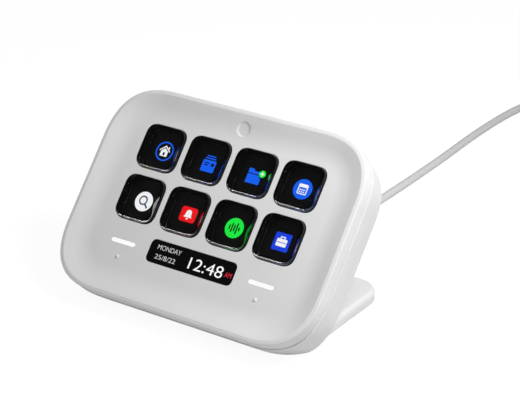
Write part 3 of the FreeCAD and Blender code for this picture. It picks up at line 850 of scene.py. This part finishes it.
def gland():
    """Round boss in the back where the lead comes out, with an eased rim."""
    low = GLAND_FACE - GLAND_ROUND
    profile = [(0.0, -5.0), (GLAND_RADIUS, -5.0), (GLAND_RADIUS, low)]
    profile += [(GLAND_RADIUS - GLAND_ROUND * c, low + GLAND_ROUND * s) for s, c in quarter(5)]
    profile += [(RELIEF_ROOT + 0.2, GLAND_FACE), (RELIEF_ROOT + 0.1, low), (0.0, low)]
    return add_piece("gland_boss", turned(profile), from_grid, WHITE_REAR,
                     "case", "white_cover", "rear_cover")


def strain_relief():
    """Tapered sleeve: the radius falls along its length and dips in five soft grooves."""
    depth = np.linspace(GLAND_FACE + 0.9, RELIEF_END - 0.5, 90)
    share = (depth - GLAND_FACE) / (RELIEF_END - GLAND_FACE)
    groove = np.clip(np.cos(2 * math.pi * (share * GROOVES_ALONG - 0.5)), 0.0, 1.0) ** 2
    groove *= (share > 0.12) & (share < 0.9)
    radius = RELIEF_ROOT + (RELIEF_TIP - RELIEF_ROOT) * share - GROOVE_DEPTH * groove
    profile = [(0.0, GLAND_FACE - 0.5), (RELIEF_ROOT, GLAND_FACE - 0.5), (RELIEF_ROOT, GLAND_FACE + 0.6)]
    profile += np.c_[radius, depth].tolist()
    profile += [(RELIEF_TIP - 0.1, RELIEF_END - 0.15), (RELIEF_TIP - 0.3, RELIEF_END),
                (CORD_RADIUS + 0.05, RELIEF_END), (CORD_RADIUS - 0.1, RELIEF_END - 0.3),
                (0.0, RELIEF_END - 0.3)]
    return add_piece("strain_relief_sleeve", turned(profile), from_grid, RELIEF_RUBBER,
                     "case", "relief_rubber", "strain_relief")


# Keys and windows

def key_cap(number, centre):
    """Thick clear cap: flat foot with a fine chamfer, straight sides printed black, and a rounded top edge.
    Soft light passes over the face as if through it, so the gaps between keys stay bright."""
    profile = [(0.35, CAP_BOTTOM), (CAP_CHAMFER, CAP_BOTTOM), (0.0, CAP_BOTTOM + CAP_CHAMFER),
               (0.0, CAP_TOP - CAP_ROUND - 0.3)]
    profile += [(CAP_ROUND * c, CAP_TOP - CAP_ROUND + CAP_ROUND * s) for s, c in quarter(12)]
    profile.append((CAP_ROUND + 0.15, CAP_TOP))
    loops = [at_level(square_loop(centre, CAP_SIZE - 2 * inset, CAP_RADIUS - inset, corner_count=20), level)
             for inset, level in profile]
    shape = lofted(loops)
    piece = new_piece("clear_key_%d" % number, to_row(shape.rows()), shape.faces, CLEAR, crease=50.0)
    paint_bands(piece, [(KEY_PAINT, CAP_BOTTOM + 0.05, CAP_TOP - CAP_ROUND + 0.05),
                        (SMOKED, CAP_TOP - CAP_ROUND - 0.05, CAP_TOP - 0.02)])
    piece.visible_diffuse = False
    piece.visible_shadow = False
    return settle(piece, "key_%d" % number, "clear_cap", "key_cap_%d" % number)


def paint_bands(piece, bands):
    """Give the faces whose corners all lie between two levels out of the face another material."""
    mesh = piece.data
    points = vertex_rows(mesh) / MM - (0.0, GRID_DEPTH, GRID_HEIGHT)
    level = points[:, 2] * math.sin(LEAN) - points[:, 1] * math.cos(LEAN)
    corners = corner_indices(mesh)
    first = np.empty(len(mesh.polygons), dtype=np.int32)
    mesh.polygons.foreach_get("loop_start", first)
    lowest = np.minimum.reduceat(level[corners], first)
    highest = np.maximum.reduceat(level[corners], first)
    marks = np.zeros(len(mesh.polygons), dtype=np.int32)
    for order, (paint, low, high) in enumerate(bands, 1):
        mesh.materials.append(paint)
        marks[(lowest > low) & (highest < high)] = order
    mesh.polygons.foreach_set("material_index", marks)


def key_skirt(number, centre):
    """Black collar under the face with a thin lining that rises between the cap and its window."""
    grow = (SKIRT_SIZE - CAP_SIZE) / 2
    section = [(LINING[0], CAP_BOTTOM), (SKIRT_SIZE - 0.2, CAP_BOTTOM), (SKIRT_SIZE, CAP_BOTTOM + 0.1),
               (SKIRT_SIZE, SKIRT_TOP - 0.1), (SKIRT_SIZE - 0.2, SKIRT_TOP), (LINING[1], SKIRT_TOP),
               (LINING[1], 0.02), (LINING[0], 0.02)]
    shape = Shape()
    shape.bands([at_level(square_loop(centre, size, CAP_RADIUS + (SKIRT_RADIUS - CAP_RADIUS)
                                      * (size - CAP_SIZE) / 2 / grow), level)
                 for size, level in section], close=True)
    return add_piece("key_collar_%d" % number, shape, to_row, BLACK_COLLAR,
                     "key_%d" % number, "black_collar", "key_skirt_%d" % number)


def clock_window():
    """Gloss black lens, flush with the face, with a fine round on its edge."""
    ease = 0.12
    loops = [at_level(clock_loop(0.0), -1.0), at_level(clock_loop(0.0), -0.4)]
    loops += [at_level(clock_loop(-ease * c), -ease + ease * s) for s, c in quarter(4)]
    loops.append(at_level(clock_loop(-ease - 0.2), 0.0))
    return add_piece("clock_glass", lofted(loops), to_row, BLACK_GLASS, "case", "black_window", "clock_lens")


def light_bar(word, side):
    """Lit white bar in its slot, with a rounded end at each side and an eased top."""
    ease = 0.15
    loops = [at_level(bar_loop(side, 0.0), -BAR_DEPTH), at_level(bar_loop(side, 0.0), -0.4)]
    loops += [at_level(bar_loop(side, -ease * c), -ease + ease * s) for s, c in quarter(4)]
    return add_piece("light_bar_" + word, lofted(loops), to_row, BAR_LIGHT,
                     "case", "light_diffuser", "light_guide_" + word)


# Pictures on the display

def rectangle(left, right, low, high, radius):
    """A rectangle with round corners."""
    return full_loop(left, right, low, high, radius, CIRCLE_HANDLE, corner_count=5, side_count=2)


def polygon(*corners):
    """Straight lines from corner to corner."""
    return np.array(corners, dtype=float)


def stroke(points, width):
    """Outline of a thick open line with square ends, mitred at its corners."""
    line = np.array(points, dtype=float)
    run = np.diff(line, axis=0)
    run /= np.linalg.norm(run, axis=1)[:, None]
    side = np.c_[-run[:, 1], run[:, 0]]
    joint = np.vstack([side[:1], side[:-1] + side[1:], side[-1:]])
    inner = joint[1:-1]
    joint[1:-1] = inner * 2 / np.sum(inner * inner, axis=1)[:, None]
    return np.vstack([line + joint * width / 2, (line - joint * width / 2)[::-1]])


def house_picture():
    """A house with its door and chimney inside a ring."""
    return [(BLUE, [circle((0, 0), 3.6), circle((0, 0), 3.1)]),
            (LIT_WHITE, [stroke([(-2.15, 0.1), (0.0, 1.95), (2.15, 0.1)], 0.4)]),
            (LIT_WHITE, [polygon((-1.45, -1.85), (1.45, -1.85), (1.45, 0.0), (0.0, 1.2), (-1.45, 0.0)),
                         rectangle(-0.4, 0.4, -1.5, -0.35, 0.1)]),
            (LIT_WHITE, [polygon((1.15, 1.35), (1.65, 0.9), (1.65, 1.9), (1.15, 1.9))])]


def cards_picture():
    """A card with two lines and a disc, and the edges of two more behind it."""
    return [(BLUE, [rectangle(-2.7, 2.7, -3.1, 1.2, 0.5), circle((1.5, -0.3), 0.62, 24),
                    rectangle(-1.9, 0.1, -0.1, 0.3, 0.15), rectangle(-1.9, -0.3, -0.9, -0.5, 0.15)]),
            (BLUE, [rectangle(-2.2, 2.2, 1.65, 2.05, 0.15)]),
            (BLUE, [rectangle(-1.8, 1.8, 2.5, 2.9, 0.15)])]


def folder_picture():
    """A folder with a plus sign on a disc at its corner."""
    return [(BLUE, [polygon((-3.2, -2.8), (2.3, -2.8), (2.3, -0.7), (1.6, -0.2), (1.2, 0.5), (-3.2, 0.5))]),
            (BLUE, [polygon((-3.2, 0.85), (1.1, 0.85), (1.1, 1.75), (-0.8, 1.75), (-1.3, 2.5), (-3.2, 2.5))]),
            (GREEN, [circle((2.4, 1.3), 1.3, 32), plus((2.4, 1.3), 0.8, 0.17)]),
            (LIT_WHITE, [plus((2.4, 1.3), 0.78, 0.16)])]


def plus(centre, reach, half):
    """A plus sign whose arms go out by reach and are twice half wide."""
    corners = [(reach, -half), (reach, half), (half, half), (half, reach), (-half, reach), (-half, half),
               (-reach, half), (-reach, -half), (-half, -half), (-half, -reach), (half, -reach),
               (half, -half)]
    return np.add(corners, centre)


def calendar_picture():
    """A page of six days on a disc."""
    days = [rectangle(-1.15 + 0.8 * column, -0.65 + 0.8 * column, -1.2 + 0.75 * row, -0.75 + 0.75 * row, 0.08)
            for row in range(2) for column in range(3)]
    marks = [(LIT_WHITE, [day]) for day in days]
    page = rectangle(-1.85, 1.85, -1.85, 1.85, 0.45)
    return [(BLUE, [circle((0, 0), 3.6), page]),
            (LIT_WHITE, [page, rectangle(-1.45, 1.45, -1.5, 0.65, 0.15)]),
            (BLUE, [rectangle(-1.45, 1.45, -1.5, 0.65, 0.15)] + days)] + marks


def search_picture():
    """A magnifier on a disc."""
    lens = circle((-0.35, 0.35), 1.75, 40)
    handle = stroke([(0.85, -0.85), (2.1, -2.1)], 0.62)
    return [(LIT_WHITE, [circle((0, 0), 3.6, 64), lens, handle]),
            (SLATE, [lens, circle((-0.35, 0.35), 1.2, 40)]),
            (SLATE, [handle]),
            (LIT_WHITE, [circle((-0.35, 0.35), 1.2, 40)])]


def bell_picture():
    """A bell on a rounded plate: half a circle over straight flared sides."""
    angle = np.linspace(0.0, math.pi, 17)
    dome = np.c_[1.15 * np.cos(angle), 0.55 + 1.15 * np.sin(angle)]
    bell = np.vstack([dome, [(-1.25, -0.5), (-1.7, -1.05), (1.7, -1.05), (1.25, -0.5)]])
    angle = np.linspace(math.pi, 2 * math.pi, 11)
    clapper = np.c_[0.5 * np.cos(angle), -1.35 + 0.5 * np.sin(angle)]
    return [(RED, [rectangle(-3.3, 3.3, -2.7, 2.7, 1.1), bell, clapper]),
            (LIT_WHITE, [bell]),
            (LIT_WHITE, [clapper])]


def sound_picture():
    """Five upright bars cut out of a disc."""
    heights = [0.9, 1.7, 1.2, 2.0, 0.7]
    bars = [rectangle(-1.9 + 0.95 * step - 0.28, -1.9 + 0.95 * step + 0.28, -height, height, 0.26)
            for step, height in enumerate(heights)]
    return [(GREEN, [circle((0, 0), 3.6, 64)] + bars)]


def case_picture():
    """A case with its handle on a square plate."""
    bag = rectangle(-2.0, 2.0, -1.6, 1.1, 0.35)
    handle = stroke([(-0.8, 1.1), (-0.8, 1.75), (0.8, 1.75), (0.8, 1.1)], 0.34)
    return [(BLUE_TILE, [rectangle(-3.15, 3.15, -3.15, 3.15, 0.45), bag]),
            (LIT_WHITE, [bag, rectangle(-1.7, 1.7, -0.35, -0.1, 0.1)]),
            (BLUE_TILE, [rectangle(-1.7, 1.7, -0.35, -0.1, 0.1)]),
            (LIT_WHITE, [handle])]


def picture(centre, parts):
    """Thin lit plates that lie on the panel under a key, one material for each colour."""
    shape = Shape()
    paints = []
    marks = []
    for order, (paint, loops) in enumerate(parts):
        if paint not in paints:
            paints.append(paint)
        before = len(shape.faces)
        placed = [loop + np.add(centre, PICTURE_SHIFT) for loop in loops]
        high = PICTURE_LEVEL + PLATE_STEP * order
        shape.fill([at_level(loop, high) for loop in placed])
        shape.fill([at_level(loop, PICTURE_LEVEL - PLATE) for loop in placed])
        for loop in placed:
            shape.bands([at_level(loop, PICTURE_LEVEL - PLATE), at_level(loop, high)])
        marks += [paints.index(paint)] * (len(shape.faces) - before)
    return shape, paints, marks


def add_pictures():
    """A picture under each key, its doubles merged and its faces outward."""
    drawings = [house_picture(), cards_picture(), folder_picture(), calendar_picture(),
                search_picture(), bell_picture(), sound_picture(), case_picture()]
    for number, (centre, parts) in enumerate(zip(key_centres(), drawings), 1):
        shape, paints, marks = picture(centre, parts)
        mesh = bpy.data.meshes.new("picture_%d" % number)
        mesh.from_pydata(to_row(shape.rows()).tolist(), [], shape.faces)
        for paint in paints:
            mesh.materials.append(paint)
        mesh.polygons.foreach_set("material_index", marks)
        work = bmesh.new()
        work.from_mesh(mesh)
        bmesh.ops.remove_doubles(work, verts=work.verts, dist=1e-7)
        bmesh.ops.recalc_face_normals(work, faces=work.faces)
        work.to_mesh(mesh)
        work.free()
        settle(link_object("picture_%d" % number, mesh), "case", "display_glass")


def readout(name, words, box, weight, paint):
    """Lit characters on the clock glass: the text's own outline is stretched to fill the box."""
    letters = bpy.data.curves.new(name, "FONT")
    letters.body = words
    letters.extrude = 0.05
    letters.offset = weight
    holder = link_object(name, letters)
    mesh = bpy.data.meshes.new_from_object(holder.evaluated_get(bpy.context.evaluated_depsgraph_get()))
    bpy.data.objects.remove(holder)
    points = vertex_rows(mesh)
    low = points.min(axis=0)
    share = (points - low) / (points.max(axis=0) - low)
    left, right, bottom, top = box
    placed = np.c_[left + (right - left) * share[:, 0], bottom + (top - bottom) * share[:, 1],
                   -0.01 + 0.02 * share[:, 2]]
    mesh.vertices.foreach_set("co", to_row(placed).ravel())
    mesh.materials.clear()
    mesh.materials.append(paint)
    mesh.update()
    return settle(link_object(name, mesh), "case", "display_glass")


# Pieces on the lead

def coil_tie():
    """A flat strap round the turns: its section is a rounded box, carried along a short arc."""
    half = (COIL_COLUMNS - 1) / 2 * TURN_PITCH + CORD_RADIUS
    low = COIL_LIFT - GRID_HEIGHT
    high = low + COIL_LAYERS * 2 * CORD_RADIUS

    def section(grow):
        """A rounded box round the stack of turns, moved out by grow."""
        return full_loop(COIL_MID - half - grow, COIL_MID + half + grow, low - grow, high + grow,
                         1.2 + grow, CIRCLE_HANDLE, corner_count=6, side_count=6)

    def carried(loop):
        """The section at each angle of the arc about the coil's middle."""
        return [np.c_[COIL_CENTRE[0] + loop[:, 0] * math.cos(a), COIL_CENTRE[1] + loop[:, 0] * math.sin(a),
                      loop[:, 1]] for a in angle]

    angle = np.radians(TIE_ANGLE + TIE_SWEEP * np.linspace(0.0, 1.0, 15))
    shape = Shape()
    shape.bands(carried(section(TIE_THICKNESS - 0.02)) + carried(section(0.03))[::-1], close=True)
    return add_piece("coil_strap", shape, from_grid, TIE_FABRIC, "case", "tie_fabric", "cord_tie")


def plug_line():
    """End of the tail and the plug's heading, in the level frame."""
    points = tail_points()
    end = np.array(points[-1])
    heading = end - np.array(points[-2])
    heading[2] = 0.0
    return end, heading / np.linalg.norm(heading)


def plug_body():
    """Moulded plug: sections along its axis grow from the boot over the shoulders to a flat-sided grip.
    Each station is a distance, half the width, half the height and the level of the middle."""
    lift = GRIP_HEIGHT / 2 - CORD_RADIUS
    stations = np.array([
        (-0.2, 2.0, 2.0, 0.0), (0.0, 2.1, 2.1, 0.0), (1.6, 2.25, 2.25, 0.0), (1.8, 1.95, 1.95, 0.0),
        (2.4, 1.95, 1.95, 0.05), (2.6, 2.4, 2.4, 0.15), (4.2, 2.55, 2.5, 0.4), (5.2, 2.75, 2.65, 0.7),
        (6.0, 3.6, 2.7, 1.1), (6.6, 4.7, 2.85, 1.4), (7.6, 5.3, 3.1, lift), (9.0, 5.5, 3.2, lift),
        (12.0, 5.5, 3.2, lift), (12.6, 5.25, 3.0, lift), (20.0, 5.25, 3.0, lift), (20.6, 5.5, 3.2, lift),
        (23.8, 5.5, 3.2, lift), (24.6, 5.3, 3.05, lift), (25.0, 4.8, 2.6, lift)])
    fine = np.linspace(stations[0, 0], stations[-1, 0], GRIP_ROWS)
    rows = [np.interp(fine, stations[:, 0], stations[:, column]) for column in (1, 2, 3)]
    end, heading = plug_line()
    across = np.array([-heading[1], heading[0], 0.0])
    angle = np.linspace(0.0, 2 * math.pi, GRIP_SIDES, endpoint=False)
    loops = []
    for along, half_wide, half_high, middle in zip(fine, *rows):
        power = 2.0 if along < 5.0 else 2.0 + min(1.0, (along - 5.0) / 3.0) * 2.6
        wide = half_wide * np.sign(np.cos(angle)) * np.abs(np.cos(angle)) ** (2 / power)
        tall = half_high * np.sign(np.sin(angle)) * np.abs(np.sin(angle)) ** (2 / power)
        level = np.maximum(middle + tall, -CORD_RADIUS)
        loops.append(end + heading * along + across * wide[:, None] + np.array([0, 0, 1.0]) * level[:, None])
    shape = Shape()
    shape.bands(loops)
    shape.faces.append(list(range(GRIP_SIDES)))
    shape.faces.append(list(range(shape.count - GRIP_SIDES, shape.count)))
    return add_piece("plug_grip", shape, from_grid, PLUG_PLASTIC, "case", "plug_plastic", "plug_body")


# Stage

def add_stage():
    """A pale floor. The camera, mirror-like surfaces and glass see it as white, with the shadow
    kept faint."""
    floor = new_piece("floor", [(-4, -4, 0), (4, -4, 0), (4, 4, 0), (-4, 4, 0)], [(0, 1, 2, 3)])
    material, nodes, links, body = new_material("floor_white", Base_Color=FLOOR_COLOUR, Roughness=0.9,
                                                Specular_IOR_Level=0.0)
    white = new_node(nodes, "Emission", Strength=FLOOR_GLOW)
    shade = new_node(nodes, "BsdfDiffuse", Color=FLOOR_SHADE)
    pale = nodes.new("ShaderNodeAddShader")
    links.new(white.outputs["Emission"], pale.inputs[0])
    links.new(shade.outputs["BSDF"], pale.inputs[1])
    path = nodes.new("ShaderNodeLightPath").outputs
    mirrored = add_math(nodes, links, "MAXIMUM", path["Is Camera Ray"], path["Is Glossy Ray"])
    seen = add_math(nodes, links, "MAXIMUM", mirrored, path["Is Transmission Ray"])
    mixed = add_mix(nodes, links, seen, body.outputs["BSDF"], pale.outputs["Shader"])
    links.new(mixed, nodes["Material Output"].inputs["Surface"])
    floor.data.materials.append(material)


def add_mix(nodes, links, share, one, two):
    """The first shader where the share is zero and the second where it is one."""
    mix = nodes.new("ShaderNodeMixShader")
    links.new(share, mix.inputs["Fac"])
    links.new(one, mix.inputs[1])
    links.new(two, mix.inputs[2])
    return mix.outputs["Shader"]


def add_light(name, location, target, size, power):
    """An oval lamp that the camera doesn't see, turned to its target."""
    lamp = bpy.data.lights.new(name, "AREA")
    lamp.shape = "ELLIPSE"
    lamp.size, lamp.size_y = size
    lamp.energy = power
    holder = link_object(name, lamp)
    holder.location = location
    aim = Vector(target) - Vector(location)
    holder.rotation_euler = aim.to_track_quat("-Z", "Y").to_euler()
    holder.visible_camera = False
    return holder


def add_world():
    """Soft light from all round on matt surfaces, a dim room in glossy ones, and white for the camera."""
    world = bpy.data.worlds.new("studio")
    bpy.context.scene.world = world
    world.use_nodes = True
    nodes, links = world.node_tree.nodes, world.node_tree.links
    room = nodes["Background"]
    soft = nodes.new("ShaderNodeBackground")
    white = nodes.new("ShaderNodeBackground")
    for light, level in ((room, ROOM_LEVEL), (soft, SOFT_LEVEL), (white, 1.0)):
        set_inputs(light, Color=(1, 1, 1, 1), Strength=level)
    path = nodes.new("ShaderNodeLightPath").outputs
    room, soft, white = [light.outputs["Background"] for light in (room, soft, white)]
    around = add_mix(nodes, links, path["Is Diffuse Ray"], room, soft)
    mixed = add_mix(nodes, links, path["Is Camera Ray"], around, white)
    links.new(mixed, nodes["World Output"].inputs["Surface"])


NODE_FINISHES = {
    "base_plate": WHITE_REAR,
    "rubber_feet": DARK_RUBBER,
    "plug_tip": PLUG_STEEL,
    "key_membrane": SILICONE,
    "contact_film": CARBON_FILM,
    "panel_ribbon": AMBER_FILM,
    "clock_ribbon": AMBER_FILM,
    "lcd_panel": PANEL_GLASS,
    "clock_display": BLACK_GLASS,
    "panel_frame": SHEET_STEEL,
    "light_chips": DIFFUSER,
    "front_board": BOARD,
    "main_board": BOARD,
    "board_chips": CHIP_BLACK,
    "board_link": CHIP_BLACK,
    "lead_header": CHIP_BLACK,
    "inner_lead": CHIP_BLACK,
    "touch_pads": COPPER,
    "board_screws": STEEL,
    "case_screws": STEEL,
    "brass_inserts": BRASS,
    "ballast_plate": BALLAST,
}


def finish_nodes():
    """Give each CAD node that shows as it is its own finish."""
    for name, finish in NODE_FINISHES.items():
        for slot_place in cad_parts[name].material_slots:
            slot_place.material = finish


bpy.context.scene.view_settings.view_transform = "Standard"
add_camera()
front_shell()
for word, side in SIDES:
    nub(word, side)
rear_cover()
foot()
screw_plugs()
gland()
strain_relief()
caps = bpy.data.collections.new("key_caps")
for number, centre in enumerate(key_centres(), 1):
    caps.objects.link(key_cap(number, centre))
    key_skirt(number, centre)
clock_window()
for word, side in SIDES:
    light_bar(word, side)
add_pictures()
readout("weekday", "MONDAY", (-14.6, -4.8, -24.6, -22.9), -0.004, LIT_GREY)
readout("date", "25/8/22", (-14.4, -5.9, -28.0, -26.3), -0.004, LIT_GREY)
readout("time", "12:48", (-0.5, 13.4, -28.0, -23.9), -0.004, LIT_WHITE)
readout("half_of_day", "AM", (14.3, 17.0, -27.0, -25.2), -0.004, CLOCK_RED)
finish_nodes()

lead = add_cord(WHITE_SOFT)
settle(lead, "case", "lead_jacket", "cord", "cord_coil", "cord_tail")
plug_body()
coil_tie()

add_stage()
add_world()
for lamp in (KEY_LIGHT, SIDE_LIGHT):
    add_light(*lamp).visible_glossy = False
edge_light = add_light(*EDGE_LIGHT)
edge_light.visible_diffuse = False
edge_light.light_linking.receiver_collection = caps
